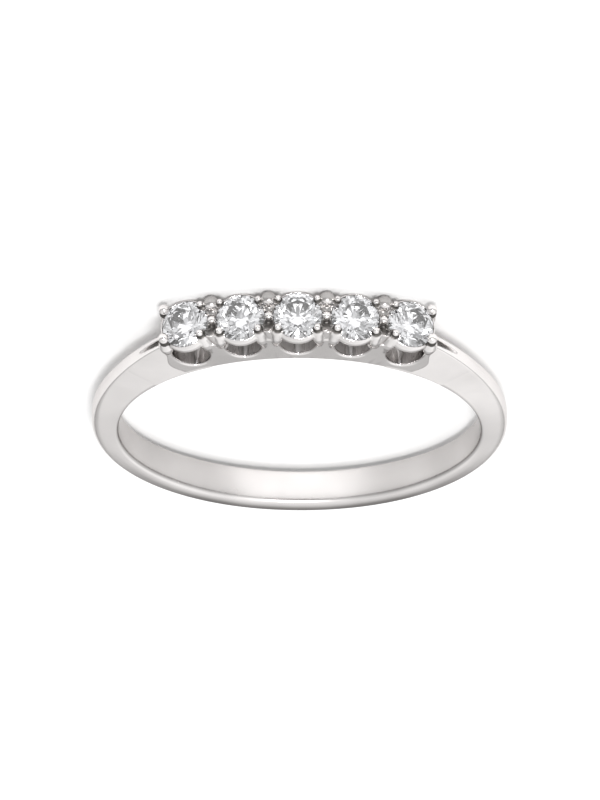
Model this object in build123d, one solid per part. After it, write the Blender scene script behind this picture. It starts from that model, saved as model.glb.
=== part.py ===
# Five-stone band ring: one cast metal band and five round brilliant stones.
#
# Millimetres. Z is the finger axis, so the ring lies on its side as modelled.
# The origin is the centre of the finger bore, half way through the band's width.
# The row of stones is on the minus Y side. An angle round the ring is measured
# from there, towards plus X, and a radius from the finger axis.
import os
from math import asin, atan2, cos, degrees, radians, sin, tan

from build123d import *


# Finger bore and shank
bore_radius = 8.65
shank_depth = 1.34
shank_half_width = 0.82
bore_edge_round = 0.24
bore_allowance = 0.30

# Shoulders, which rise from the shank to the row of stones
shoulder_depth = 2.95
shoulder_half_width = 0.64
shoulder_ridge_half_width = 0.33

# Round brilliant stones
stone_count = 5
stone_diameter = 2.25
stone_pitch = 2.68
stone_girdle_radius = 12.24
row_arc_radius = 14.4
table_share = 0.57
crown_angle = 34.5
pavilion_angle = 40.8
girdle_thickness = 0.07
star_share = 0.50
lower_half_share = 0.76
stone_clearance = 0.025

# Gallery under the stones: a bar on the bore and posts between arched windows
bar_depth = 0.62
gallery_half_width_at_bore = 0.60
gallery_half_width_at_top = 0.98
window_width = 1.68
window_arch_height = 1.75
window_foot_pitch_angle = 15.3
post_width = 0.56
end_round_radius = 2.1
end_round_turn = 58
end_corner_round = 0.55

# Seat collar, claws and bridges of each stone
collar_depth = 0.46
collar_wall = 0.14
claw_radius = 0.36
claw_tip_radius = 0.24
end_claw_tip_radius = 0.30
claw_foot_radius = 0.14
claw_waist_share = 0.70
claw_spread = 0.91
claw_half_span = 0.73
claw_foot_half_span = 0.63
claw_rise = 0.38
claw_drop = 2.15
claw_inset_at_foot = 0.16
web_radius = 0.34
web_half_span = 0.66
web_lean = 0.18
web_rise = 0.45
web_drop = 1.60
web_top_slope = 40
bridge_radius = 0.20
bridge_rise = 0.04

# Scooped recess in the outer face of each shoulder, behind the end claws
scoop_length_angle = 13.5
scoop_depth = 0.62
scoop_wall = 0.11
scoop_tail_share = 0.46
scoop_overcut = 0.4

stone_radius = stone_diameter / 2
girdle_half = girdle_thickness / 2
crown_height = stone_radius * (1 - table_share) * tan(radians(crown_angle))
pavilion_depth = stone_radius * tan(radians(pavilion_angle))
bar_radius = bore_radius + bar_depth
gallery_top_radius = stone_girdle_radius - collar_depth - 0.5 * collar_wall
stone_pitch_angle = degrees(2 * asin(stone_pitch / 2 / row_arc_radius))
stone_steps = [step - (stone_count - 1) / 2 for step in range(stone_count)]
last_step = stone_steps[-1]


def at(radius, angle, height=0.0):
    """The point at a radius and an angle in degrees round the ring."""
    turn = radians(angle)
    return Vector(radius * sin(turn), -radius * cos(turn), height)


def section_plane(angle):
    """The plane through the finger axis at an angle: its x is radius, its y is height."""
    turn = radians(angle)
    return Plane(origin=(0, 0, 0), x_dir=(sin(turn), -cos(turn), 0), z_dir=(-cos(turn), -sin(turn), 0))


def stone_plane(step, height=0.0):
    """A plane across a stone's axis, at a height over its girdle: its z points outwards."""
    angle = step * stone_pitch_angle
    row_centre = Vector(0, row_arc_radius - stone_girdle_radius, 0)
    return Plane(origin=row_centre + at(row_arc_radius + height, angle),
                 x_dir=(cos(radians(angle)), sin(radians(angle)), 0), z_dir=at(1, angle))


# Shank

# Shares of the change from the plain shank, at the back, to the shoulder.
# angle, depth share, width share, ridge share, bore round share, dome, outer round
shank_stations = [
    (28, 1.000, 1.00, 1.00, 0.16, 0.02, 0.05),
    (36, 0.760, 1.00, 1.00, 0.16, 0.02, 0.05),
    (46, 0.455, 0.96, 0.98, 0.20, 0.02, 0.06),
    (56, 0.225, 0.88, 0.92, 0.30, 0.03, 0.08),
    (66, 0.085, 0.74, 0.78, 0.44, 0.04, 0.12),
    (80, 0.012, 0.50, 0.46, 0.68, 0.08, 0.24),
    (98, 0.000, 0.24, 0.18, 0.90, 0.12, 0.34),
    (124, 0.000, 0.08, 0.05, 1.00, 0.14, 0.38),
    (152, 0.000, 0.00, 0.00, 1.00, 0.14, 0.40),
    (180, 0.000, 0.00, 0.00, 1.00, 0.14, 0.40),
]


def shank_section(angle, depth_share, width_share, ridge_share, bore_round_share, dome, outer_round):
    """A closed section: a flat bore face, rounded bore edges, flat sides and a domed back."""
    bore_round = bore_edge_round * bore_round_share
    depth = shank_depth + depth_share * (shoulder_depth - shank_depth)
    inner_half = shank_half_width + width_share * (shoulder_half_width - shank_half_width)
    outer_half = shank_half_width + ridge_share * (shoulder_ridge_half_width - shank_half_width)
    bore_half = inner_half - bore_round
    inside = bore_radius - bore_allowance
    outside = bore_radius + depth
    with BuildSketch() as sketch:
        with BuildLine():
            Line((inside, -bore_half), (inside, bore_half))
            Line((inside, bore_half), (bore_radius, bore_half))
            Line((bore_radius, bore_half), (bore_radius + bore_round, inner_half))
            Line((bore_radius + bore_round, inner_half), (outside - dome, outer_half))
            ThreePointArc((outside - dome, outer_half), (outside, 0), (outside - dome, -outer_half))
            Line((outside - dome, -outer_half), (bore_radius + bore_round, -inner_half))
            Line((bore_radius + bore_round, -inner_half), (bore_radius, -bore_half))
            Line((bore_radius, -bore_half), (inside, -bore_half))
        make_face()
        outer_corners = sketch.vertices().sort_by(Axis.X)[-2:]
        fillet(outer_corners, outer_round)
        side_corners = sketch.vertices().filter_by(
            lambda corner: abs(corner.X - bore_radius - bore_round) < 0.001)
        fillet(side_corners, bore_round * 0.6)
    return section_plane(angle) * sketch.sketch


def shank():
    """The open hoop, from one end of the row of stones round the back to the other."""
    half = [shank_section(*station) for station in shank_stations]
    back = [shank_section(360 - station[0], *station[1:]) for station in reversed(shank_stations[:-1])]
    return loft(half + back)


def scoop(side):
    """A wedge that hollows the outer face behind an end claw and runs out along the shoulder."""
    start_angle = side * (gallery_end_angle - 2)
    end_angle = side * (gallery_end_angle + scoop_length_angle)
    mouth_radius = bore_radius + shoulder_depth
    tail_radius = bore_radius + shank_depth + scoop_tail_share * (shoulder_depth - shank_depth)
    mouth_half = shoulder_ridge_half_width - scoop_wall
    mouth_top = mouth_radius + scoop_overcut
    mouth_floor = mouth_radius - scoop_depth
    tail_top = tail_radius + scoop_overcut
    tail_floor = tail_radius + scoop_overcut / 4
    with BuildSketch(section_plane(start_angle)) as mouth:
        Polygon((mouth_top, mouth_half * 1.3), (mouth_top, -mouth_half * 1.3),
                (mouth_floor, -mouth_half * 0.5), (mouth_floor, mouth_half * 0.5), align=None)
    with BuildSketch(section_plane(end_angle)) as tail:
        Polygon((tail_top, mouth_half * 0.3), (tail_top, -mouth_half * 0.3),
                (tail_floor, -mouth_half * 0.1), (tail_floor, mouth_half * 0.1), align=None)
    return loft([mouth.sketch, tail.sketch], ruled=True)


# Gallery

def foot_point(step):
    """The middle of a window's foot, on top of the bar."""
    return at(bar_radius, step * window_foot_pitch_angle)


def head_point(step):
    """The middle of a stone's girdle."""
    return stone_plane(step).origin


def window_plane(step):
    """The plane of a window's outline: its x runs along the row, its y from the foot outwards."""
    foot = foot_point(step)
    outwards = (head_point(step) - foot).normalized()
    across = Vector(-outwards.Y, outwards.X, 0)
    return Plane(origin=foot, x_dir=across, z_dir=across.cross(outwards))


def gallery_outline():
    """The gallery seen along the finger axis, with ends that curve in to the bore."""
    end_foot = foot_point(last_step)
    end_half = window_width / 2 + post_width
    side = end_foot.X + end_half
    shoulder_y = -bar_radius * cos(radians(last_step * window_foot_pitch_angle)) - end_half * 0.6
    top = stone_plane(last_step, -collar_depth - end_corner_round).origin.Y
    peak = stone_plane(0, -collar_depth - 0.1).origin.Y
    sweep = end_round_radius
    turn = radians(end_round_turn)
    end_x = side - sweep * (1 - cos(turn))
    end_y = shoulder_y + sweep * sin(turn)
    with BuildSketch() as sketch:
        with BuildLine():
            Line((-side, top), (-side, shoulder_y))
            RadiusArc((-side, shoulder_y), (-end_x, end_y), sweep)
            Line((-end_x, end_y), (0, -bore_radius * 0.5))
            Line((0, -bore_radius * 0.5), (end_x, end_y))
            RadiusArc((end_x, end_y), (side, shoulder_y), sweep)
            Line((side, shoulder_y), (side, top))
            ThreePointArc((side, top), (0, peak), (-side, top))
        make_face()
        fillet(sketch.vertices().filter_by(lambda corner: abs(corner.Y - top) < 0.001), end_corner_round)
    return sketch.sketch


def gallery_wall():
    """The wall between the bore and the collars, wider at the top than at the bore."""
    tall = gallery_half_width_at_top * 2
    outline = extrude(gallery_outline(), amount=tall, both=True)
    inside = bore_radius - bore_allowance
    flare = (gallery_half_width_at_top - gallery_half_width_at_bore) / (gallery_top_radius - bore_radius)
    inner_half = gallery_half_width_at_bore - flare * bore_allowance
    outer_half = gallery_half_width_at_top + flare
    with BuildSketch(section_plane(0)) as sketch:
        Polygon((inside, inner_half), (inside, -inner_half), (gallery_top_radius + 1, -outer_half),
                (gallery_top_radius + 1, outer_half), align=None)
    return outline & revolve(sketch.sketch, axis=Axis.Z)


def window(step):
    """An arched opening through both walls, from the bar up to the collar."""
    half = window_width / 2
    rise = (head_point(step) - foot_point(step)).length
    with BuildSketch(window_plane(step)) as sketch:
        with Locations((0, window_arch_height)):
            Ellipse(half, window_arch_height)
        with Locations((0, (window_arch_height + rise) / 2)):
            Rectangle(window_width, rise - window_arch_height)
    return extrude(sketch.sketch, amount=stone_diameter, both=True)


def collar(step):
    """The round seat rim that carries a stone just under its girdle."""
    outer = stone_radius + collar_wall
    with BuildSketch(Plane.XZ) as sketch:
        with BuildLine():
            Polyline((stone_radius * 0.55, -girdle_half), (outer - 0.05, -girdle_half), (outer, -girdle_half - 0.06),
                     (outer - 0.06, -collar_depth), (stone_radius * 0.74, -collar_depth - 0.12), close=True)
        make_face()
    return stone_plane(step) * revolve(sketch.sketch, axis=Axis.Z)


def claw(step, side, face):
    """A round claw with a domed end, from the gallery wall up and over the girdle."""
    plane = stone_plane(step)
    tip = plane.from_local_coords(Vector(side * claw_spread, face * claw_half_span, claw_rise))
    reach = (head_point(step) - foot_point(step)).length
    foot_middle = foot_point(step) + (head_point(step) - foot_point(step)) * (1 - claw_drop / reach)
    foot = foot_middle + window_plane(step).x_dir * side * (window_width / 2 + claw_radius - claw_inset_at_foot)
    foot = Vector(foot.X, foot.Y, face * claw_foot_half_span)
    dome_middle = (tip - foot).length
    dome_radius = end_claw_tip_radius if side * step == last_step else claw_tip_radius
    diagonal = dome_radius * sin(radians(45))
    with BuildSketch(Plane.XZ) as sketch:
        with BuildLine():
            Polyline((0, dome_middle + dome_radius), (0, 0), (claw_foot_radius, 0),
                     (claw_radius, dome_middle * claw_waist_share), (dome_radius, dome_middle))
            ThreePointArc((dome_radius, dome_middle), (diagonal, dome_middle + diagonal),
                          (0, dome_middle + dome_radius))
        make_face()
    return Plane(origin=foot, z_dir=tip - foot) * revolve(sketch.sketch, axis=Axis.Z)


def tapered_rod(start, end, start_radius, end_radius):
    """A cone between two points."""
    run = end - start
    plane = Plane(origin=start, z_dir=run)
    rod = Cone(start_radius, end_radius, run.length, align=(Align.CENTER, Align.CENTER, Align.MIN))
    return plane * rod


def web(gap, face):
    """The post between the claws of two neighbouring stones, with a top that slopes down to the bead."""
    top_plane = stone_plane(gap, web_rise)
    top = top_plane.origin + Vector(0, 0, face * web_half_span)
    foot = stone_plane(gap, -web_drop).origin + Vector(0, 0, face * (web_half_span - web_lean))
    end = top + (top - foot) * 0.1
    post = tapered_rod(foot, end, web_radius * 1.1, web_radius)
    slope = radians(web_top_slope)
    outer_edge = top + Vector(0, 0, face * web_radius)
    normal = top_plane.z_dir * cos(slope) - Vector(0, 0, face * sin(slope))
    return split(post, bisect_by=Plane(origin=outer_edge, z_dir=normal), keep=Keep.BOTTOM)


def bridge(gap):
    """The rounded bead between two neighbouring collars."""
    top = stone_plane(gap, bridge_rise).origin
    foot = stone_plane(gap, -collar_depth - 0.4).origin
    return tapered_rod(foot, top, bridge_radius * 1.5, bridge_radius) + Pos(top) * Sphere(bridge_radius)


def stone_room(step):
    """The space that a stone takes, with its clearance."""
    gap = stone_clearance
    reach = stone_radius + gap
    slope = tan(radians(pavilion_angle))
    rise = tan(radians(crown_angle))
    with BuildSketch(Plane.XZ) as sketch:
        with BuildLine():
            Polyline((0, -girdle_half - reach * slope - gap * 0.3), (reach, -girdle_half - gap * 0.3),
                     (reach, girdle_half + gap * 0.3), (stone_radius * 0.35, girdle_half + gap + (
                         reach - stone_radius * 0.35) * rise), (0, crown_height + 0.3), close=True)
        make_face()
    return stone_plane(step) * revolve(sketch.sketch, axis=Axis.Z)


def band():
    """The whole cast band: gallery, collars, claws, webs and bridges with the hoop in one solid."""
    gaps = [step + 0.5 for step in stone_steps[:-1]]
    windows = [window(step) for step in stone_steps]
    hoop = shank() - [scoop(side) for side in (-1, 1)] - windows
    body = gallery_wall() - windows
    body = body + [collar(step) for step in stone_steps]
    body = body + [bridge(gap) for gap in gaps]
    body = body + [web(gap, face) for gap in gaps for face in (-1, 1)]
    for step in stone_steps:
        body = body + [claw(step, side, face) for side in (-1, 1) for face in (-1, 1)]
    body = body + hoop
    body = body - [stone_room(step) for step in stone_steps]
    return body - Cylinder(bore_radius, 4 * shank_half_width)


# Stones

def cut_below(solid, first, second, third):
    """Keep the side of a solid that holds the stone's middle, cut at the plane of three points."""
    normal = (second - first).cross(third - first).normalized()
    if normal.dot(first) < 0:
        normal = -normal
    return split(solid, bisect_by=Plane(origin=first, z_dir=normal), keep=Keep.BOTTOM)


def ring_point(radius, angle, height):
    """A point of the stone at a radius from its axis."""
    return Vector(radius * cos(radians(angle)), radius * sin(radians(angle)), height)


def brilliant():
    """A round brilliant with its girdle at the origin and its table upwards."""
    table_radius = stone_radius * table_share
    crown_slope = tan(radians(crown_angle))
    top = girdle_half + crown_height
    bottom = -girdle_half - pavilion_depth
    solid = Pos(0, 0, (top + bottom) / 2) * Cylinder(stone_radius, top - bottom)
    quarter = 22.5
    half_cos = cos(radians(quarter))
    star_radius = table_radius * half_cos + star_share * (stone_radius - table_radius * half_cos)
    star_height = top - (star_radius * half_cos - table_radius) * crown_slope
    keel_radius = stone_radius * (1 - lower_half_share)
    keel_height = bottom + keel_radius * half_cos * tan(radians(pavilion_angle))
    culet = Vector(0, 0, bottom)
    for turn in range(0, 360, 45):
        main = ring_point(stone_radius, turn, girdle_half)
        corner = ring_point(table_radius, turn, top)
        next_corner = ring_point(table_radius, turn + 45, top)
        tangent = Vector(-sin(radians(turn)), cos(radians(turn)), 0)
        low = ring_point(stone_radius, turn, -girdle_half)
        solid = cut_below(solid, main, corner, main + tangent)
        solid = cut_below(solid, low, culet, low + tangent)
        star = ring_point(star_radius, turn + quarter, star_height)
        solid = cut_below(solid, corner, next_corner, star)
        for side in (-1, 1):
            edge = ring_point(stone_radius, turn + side * quarter, girdle_half)
            peak = ring_point(star_radius, turn + side * quarter, star_height)
            solid = cut_below(solid, main, edge, peak)
            low_edge = ring_point(stone_radius, turn + side * quarter, -girdle_half)
            keel = ring_point(keel_radius, turn + side * quarter, keel_height)
            solid = cut_below(solid, low, low_edge, keel)
    return solid


gallery_end_angle = degrees(atan2(foot_point(last_step).X + window_width / 2 + post_width,
                                  bar_radius * cos(radians(last_step * window_foot_pitch_angle)) + 1.5))


if __name__ == "__main__":
    os.makedirs("parts", exist_ok=True)
    metal = band()
    print("band", metal.is_valid, len(metal.solids()), round(metal.volume, 3))
    export_step(metal, "parts/band.step")
    gem = brilliant()
    for number, step in enumerate(stone_steps, start=1):
        export_step(stone_plane(step) * gem, f"parts/diamond_{number}.step")
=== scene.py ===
"""The looks of a diamond band ring: a smooth skin over its cast metal, cut stones and a plain stage.

Metres. Z is the finger axis and the row of stones is on the minus Y side. An angle round the ring
is measured from there towards plus X, and a radius from the finger axis.
"""
from math import asin, cos, pi, radians, sin, tan

import bmesh
import bpy
import numpy as np
from bpy.props import FloatProperty, FloatVectorProperty, IntProperty, PointerProperty
from mathutils import Matrix, Vector


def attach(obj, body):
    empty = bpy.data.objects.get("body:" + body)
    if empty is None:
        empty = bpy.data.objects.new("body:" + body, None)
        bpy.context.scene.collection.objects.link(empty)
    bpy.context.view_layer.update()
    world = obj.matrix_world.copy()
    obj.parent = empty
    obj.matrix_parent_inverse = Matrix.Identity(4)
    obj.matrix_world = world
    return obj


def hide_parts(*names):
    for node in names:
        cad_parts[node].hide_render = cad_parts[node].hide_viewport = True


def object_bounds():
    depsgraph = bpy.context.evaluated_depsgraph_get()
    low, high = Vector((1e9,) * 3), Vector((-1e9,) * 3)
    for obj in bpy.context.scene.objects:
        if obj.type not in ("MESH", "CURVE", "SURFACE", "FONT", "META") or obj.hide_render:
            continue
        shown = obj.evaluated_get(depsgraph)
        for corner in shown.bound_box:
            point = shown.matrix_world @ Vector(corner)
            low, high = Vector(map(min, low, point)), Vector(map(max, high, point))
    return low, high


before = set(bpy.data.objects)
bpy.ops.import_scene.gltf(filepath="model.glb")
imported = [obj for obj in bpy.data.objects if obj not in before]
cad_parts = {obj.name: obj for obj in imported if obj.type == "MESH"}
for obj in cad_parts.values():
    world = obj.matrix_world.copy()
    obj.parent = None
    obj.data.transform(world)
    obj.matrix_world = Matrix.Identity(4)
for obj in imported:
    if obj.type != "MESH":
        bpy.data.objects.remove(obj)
frame_corners = [list(corner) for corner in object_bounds()]

bl_info = {
    "name": "Diamond Band Ring",
    "version": (1, 0, 0),
    "blender": (4, 5, 0),
    "location": "3D View > Sidebar > Ring",
    "description": "Cast band with a row of claw-set brilliants over arched windows",
    "category": "Add Mesh",
}

MM = 0.001
PICTURE_HEIGHT = 800

# in degrees round the ring: the hoop's skin and the shoulders' overlap, and the end of each is drawn in
SHOULDER_START = 28.0
SHOULDER_END = 52.5
HOOP_START = 47.5

# half the thickness of a stone's girdle, and the slopes of its crown and its pavilion
GIRDLE_HALF = 0.035 * MM
CROWN_SLOPE = radians(34.5)
PAVILION_SLOPE = radians(40.8)

# a skin of more triangles than this is thinned
MOST_TRIANGLES = 190000

# angle, depth share, width share, ridge share, bore round share, dome, outer round, belly of the sides
SHANK_STATIONS = np.array([
    (28, 1.000, 1.00, 1.00, 0.16, 0.02, 0.05, 0.00),
    (36, 0.760, 1.00, 1.00, 0.16, 0.02, 0.05, 0.00),
    (46, 0.455, 0.96, 0.98, 0.20, 0.02, 0.06, 0.00),
    (56, 0.225, 0.88, 0.92, 0.30, 0.03, 0.08, 0.00),
    (66, 0.085, 0.74, 0.78, 0.44, 0.04, 0.12, 0.01),
    (80, 0.012, 0.50, 0.46, 0.68, 0.08, 0.24, 0.02),
    (98, 0.000, 0.24, 0.18, 0.90, 0.12, 0.34, 0.05),
    (124, 0.000, 0.06, 0.03, 1.00, 0.14, 0.38, 0.08),
    (152, 0.000, -0.10, -0.04, 1.00, 0.14, 0.40, 0.10),
    (180, 0.000, -0.10, -0.04, 1.00, 0.14, 0.40, 0.10),
])

# painted shade in the pit between two stones, from rear to front: rear post, rear hollow, front pit, front
# post's lip
PIT_ZONES = np.array([
    (0.50, 0.60, 0.85, 0.70),  # how dark
    (0.70, 0.26, 0.26, 0.46),  # upper end over the girdle, in millimetres
    (1.25, 1.25, 1.25, 0.95),  # reach across the row, in millimetres
    (0.38, 0.60, 0.60, 0.28),  # reach along the row, in millimetres
])
PIT_ZONE_ENDS = np.array([-0.60, 0.0, 0.62]) * MM


# Sizes and colours

def length(name, description, millimetres):
    """A length a user can change, kept in metres."""
    return FloatProperty(name=name, description=description, default=millimetres * MM, min=0.0,
                         precision=6, unit="LENGTH", subtype="DISTANCE")


def angle_value(name, description, degrees_):
    """An angle a user can change, kept in radians."""
    return FloatProperty(name=name, description=description, default=radians(degrees_), unit="ROTATION",
                         subtype="ANGLE")


def fraction(name, description, value):
    """A number from 0 to 1 a user can change."""
    return FloatProperty(name=name, description=description, default=value, min=0.0, max=1.0)


def colour(name, description, value):
    """A colour a user can change."""
    return FloatVectorProperty(name=name, description=description, default=value, size=3, min=0.0, max=1.0,
                               subtype="COLOR")


class RingShank(bpy.types.PropertyGroup):
    """Sizes of the hoop and its shoulders."""
    bore_radius: length("Bore radius", "Radius of the finger hole", 8.65)
    depth: length("Depth", "Thickness of the hoop at its back", 1.34)
    half_width: length("Half width", "Half the width of the hoop at its back", 0.82)
    bore_round: length("Bore round", "Rounding of the bore's edges", 0.24)
    comfort: length("Comfort", "How far the bore opens from its middle to its rounded edges", 0.045)
    shoulder_depth: length("Shoulder depth", "Thickness where the shoulders meet the row", 2.95)
    shoulder_half_width: length("Shoulder half width", "Half width of a shoulder at the bore", 0.64)
    ridge_half_width: length("Ridge half width", "Half width of a shoulder at its ridge", 0.33)
    scoop_depth: length("Scoop depth", "Depth of the groove behind the end claws", 0.62)
    scoop_wall: length("Scoop wall", "Rail left on each side of the groove", 0.11)
    scoop_start: angle_value("Scoop start", "Where the groove begins, round the ring", 31.5)
    scoop_end: angle_value("Scoop end", "Where the groove runs out, round the ring", 47.0)


class RingHead(bpy.types.PropertyGroup):
    """Sizes of the gallery, its windows, the collars and the claws."""
    stone_count: IntProperty(name="Stones", description="Stones in the row", default=5, min=1, max=9)
    stone_radius: length("Stone radius", "Radius of a stone's girdle", 1.125)
    stone_pitch: length("Stone pitch", "From one stone's middle to the next", 2.68)
    girdle_radius: length("Girdle radius", "From the finger axis to the middle stone's girdle", 12.24)
    row_radius: length("Row radius", "Radius of the arc that the row lies on", 14.4)
    bar_depth: length("Bar depth", "Thickness of the bar under the windows", 0.62)
    half_width_at_bore: length("Half width at bore", "Half width of the gallery at the bore", 0.60)
    half_width_at_top: length("Half width at top", "Half width of the gallery under the collars", 0.98)
    window_width: length("Window width", "Width of an arched window", 1.68)
    window_height: length("Window arch height", "Height of a window's arch", 1.75)
    window_pitch: angle_value("Window pitch", "Angle between the feet of two windows", 15.3)
    window_edge: length("Window edge", "Width of the broken edge round a window", 0.07)
    post_width: length("Post width", "Metal between the last window and the gallery's end", 0.56)
    end_round: length("End round", "Radius of the cup at each end of the gallery", 2.1)
    collar_depth: length("Collar depth", "Height of a stone's seat collar", 0.46)
    collar_wall: length("Collar wall", "How far a collar stands out past the girdle", 0.14)
    claw_radius: length("Claw radius", "Radius of a claw at its waist", 0.37)
    claw_tip_radius: length("Claw tip radius", "Radius of a claw's domed end", 0.24)
    end_claw_tip_radius: length("End claw tip radius", "Radius of an end claw's domed end", 0.30)
    claw_foot_radius: length("Claw foot radius", "Radius of a claw's foot in the wall", 0.10)
    claw_spread: length("Claw spread", "Claw end from the stone's middle, along the row", 0.91)
    claw_half_span: length("Claw half span", "Claw end from the stone's middle, across the row", 0.73)
    claw_foot_half_span: length("Claw foot half span", "Claw foot from the row's middle, across it", 0.63)
    claw_waist_share: FloatProperty(name="Claw waist", default=0.64, min=0.1, max=0.9,
                                    description="Where a claw is widest, as a share of its length")
    claw_rise: length("Claw rise", "Middle of a claw's dome over the girdle", 0.38)
    claw_drop: length("Claw drop", "Foot of a claw under the girdle", 2.15)
    claw_inset: length("Claw inset", "How far a claw's foot runs over its window", 0.16)
    web_radius: length("Web radius", "Radius of the post between two neighbouring claws", 0.32)
    web_half_span: length("Web half span", "Post from the row's middle, across the row", 0.67)
    web_lean: length("Web lean", "How far the post leans out from its foot to its top", 0.18)
    web_rise: length("Web rise", "Outer edge of the post's sloped top over the girdle", 0.45)
    web_drop: length("Web drop", "Foot of the post under the girdle", 1.60)
    web_slope: angle_value("Web slope", "Slope of the post's top, down towards the bead", 40.0)
    bridge_radius: length("Bridge radius", "Radius of the bead between two collars", 0.23)
    voxel: length("Skin grid", "Size of the skin's grid before smoothing", 0.036)


class RingFinish(bpy.types.PropertyGroup):
    """Colours and polish."""
    metal: colour("Metal", "Colour of the polished metal", (0.86, 0.835, 0.825))
    # painted shade: this dark colour is painted into the pits, creases and scoops of the head and on its far
    # inside walls
    crevice_painted_shade: colour("Recess", "Colour of the metal where polishing doesn't reach", (0.09, 0.085, 0.08))
    # painted shade: this darker metal colour is painted as a dark reflection on the hoop's outer back and the
    # bore's sides
    painted_shade_metal: colour("Satin metal", "Colour of the hoop's satin metal", (0.24, 0.23, 0.225))
    glancing: colour("Glancing", "Light that the metal keeps at a glancing angle", (0.76, 0.75, 0.745))
    raw: fraction("Raw", "Roughness of the cast walls inside the gallery", 0.45)
    roughness: fraction("Roughness", "Roughness of the metal at the head", 0.10)
    satin: fraction("Satin", "Roughness of the metal round the hoop", 0.22)
    scratch: fraction("Fine wear", "Strength of the fine polishing marks", 0.05)
    stone: colour("Stone", "Tint of the stones", (0.95, 0.953, 0.975))
    refraction: FloatProperty(name="Refraction", description="Refractive index of the stones",
                              default=2.417, min=1.0, max=3.0)


class RingStage(bpy.types.PropertyGroup):
    """Floor, light and camera."""
    floor: colour("Floor", "Colour of the floor", (0.93, 0.93, 0.93))
    elevation: angle_value("Elevation", "Camera's angle over the floor", 23.0)
    azimuth: angle_value("Azimuth", "Camera's turn round the finger axis", -0.45)
    roll: angle_value("Roll", "Camera's roll about its own axis", 180.2)
    distance: length("Distance", "Camera's distance from the bore's middle", 300.0)
    rise: length("Rise", "Camera's move up the picture", 0.883)
    shift: length("Shift", "Camera's move along the picture", 0.024)
    pixels_per_mm: FloatProperty(name="Scale", description="Picture pixels for a millimetre", default=20.8)
    key: FloatProperty(name="Key light", description="Power of the soft light, in watts", default=1.6)
    dome: FloatProperty(name="Dome", description="Strength of the surrounding white tent", default=0.95)


# Surfaces

def round_ring(radius, angle, height):
    """Points at a radius and an angle round the ring: x is r sin a, y is minus r cos a."""
    return np.stack(np.broadcast_arrays(radius * np.sin(angle), -radius * np.cos(angle), height), axis=-1)


def smooth_through(x, knots, values):
    """A smooth curve through knots: on each span a cubic that has the knots' mean slopes at its ends.

    At the first knot its slope is that of the first span, and at the last knot it is level.
    """
    slopes = np.gradient(values, knots)
    slopes[0] = (values[1] - values[0]) / (knots[1] - knots[0])
    slopes[-1] = 0.0
    span = np.clip(np.searchsorted(knots, x, side="right") - 1, 0, len(knots) - 2)
    width = knots[span + 1] - knots[span]
    t = (x - knots[span]) / width
    start = (2 * t**3 - 3 * t**2 + 1) * values[span] + (t**3 - 2 * t**2 + t) * width * slopes[span]
    return start + (3 * t**2 - 2 * t**3) * values[span + 1] + (t**3 - t**2) * width * slopes[span + 1]


def rising(value, start, width):
    """From 0 at a start to 1 a width past it, in a straight line."""
    return np.clip((value - start) / width, 0, 1)


def falling(value, end, width):
    """From 1 a width before an end to 0 at it, in a straight line."""
    return np.clip((end - value) / width, 0, 1)


def tube(rings, wrapped=False):
    """A closed skin through rings of points: quads between rings, and a cap on each end unless wrapped."""
    count, around = rings.shape[:2]
    index = np.arange(count * around).reshape(count, around)
    first = index if wrapped else index[:-1]
    second = np.roll(index, -1, axis=0) if wrapped else index[1:]
    quads = np.stack([first, np.roll(first, -1, axis=1), np.roll(second, -1, axis=1), second], axis=-1)
    faces = quads.reshape(-1, 4).tolist()
    if not wrapped:
        faces += [index[0][::-1].tolist(), index[-1].tolist()]
    return rings.reshape(-1, 3), faces


def slab(flat, half):
    """A closed plate: a grid of x and y at plus and minus its half thickness, joined along its borders."""
    front = np.concatenate([flat, half[..., None]], axis=-1)
    back = np.concatenate([flat, -half[..., None]], axis=-1)
    rows, columns = half.shape
    index = np.arange(rows * columns).reshape(rows, columns)
    under = index + rows * columns
    faces = np.stack([index[:-1, :-1], index[1:, :-1], index[1:, 1:], index[:-1, 1:]], axis=-1).reshape(-1, 4)
    backs = np.stack([under[:-1, :-1], under[:-1, 1:], under[1:, 1:], under[1:, :-1]], axis=-1).reshape(-1, 4)
    border = np.concatenate([index[:, 0], index[-1, 1:], index[-2::-1, -1], index[0, -2:0:-1]])
    beyond = np.roll(border, -1)
    walls = np.stack([border, beyond, beyond + rows * columns, border + rows * columns], axis=-1)
    faces = np.concatenate([faces, backs, walls]).tolist()
    return np.concatenate([front.reshape(-1, 3), back.reshape(-1, 3)]), faces


def turned(profile, origin, axis, around=40):
    """A profile of radius r and height h carried round an axis n: origin + h n + r (u cos t + v sin t)."""
    normal = np.array(Vector(axis).normalized())
    side = np.cross(normal, (0.0, 0.0, 1.0) if abs(normal[2]) < 0.9 else (1.0, 0.0, 0.0))
    side /= np.linalg.norm(side)
    other = np.cross(normal, side)
    turn = np.linspace(0, 2 * pi, around, endpoint=False)[None, :, None]
    profile = np.asarray(profile)
    radius = profile[:, 0, None, None]
    height = profile[:, 1, None, None]
    return np.asarray(origin) + height * normal + radius * (side * np.cos(turn) + other * np.sin(turn))


def domed_rod(foot, top, foot_radius, waist_radius, tip_radius, waist_share=0.6):
    """A round rod with a domed end: its profile is two straight spans, then nearly a quarter of a circle."""
    run = top - foot
    reach = run.length
    turn = np.linspace(0.0, radians(86), 12)
    dome = np.stack([tip_radius * np.cos(turn), reach + tip_radius * np.sin(turn)], axis=-1)
    share = np.linspace(0.0, 1.0, 16)
    radius = np.interp(share, [0, waist_share, 1], [foot_radius, waist_radius, tip_radius])
    stem = np.stack([radius, reach * share], axis=-1)
    return tube(turned(np.concatenate([stem[:-1], dome]), foot, run))


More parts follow.
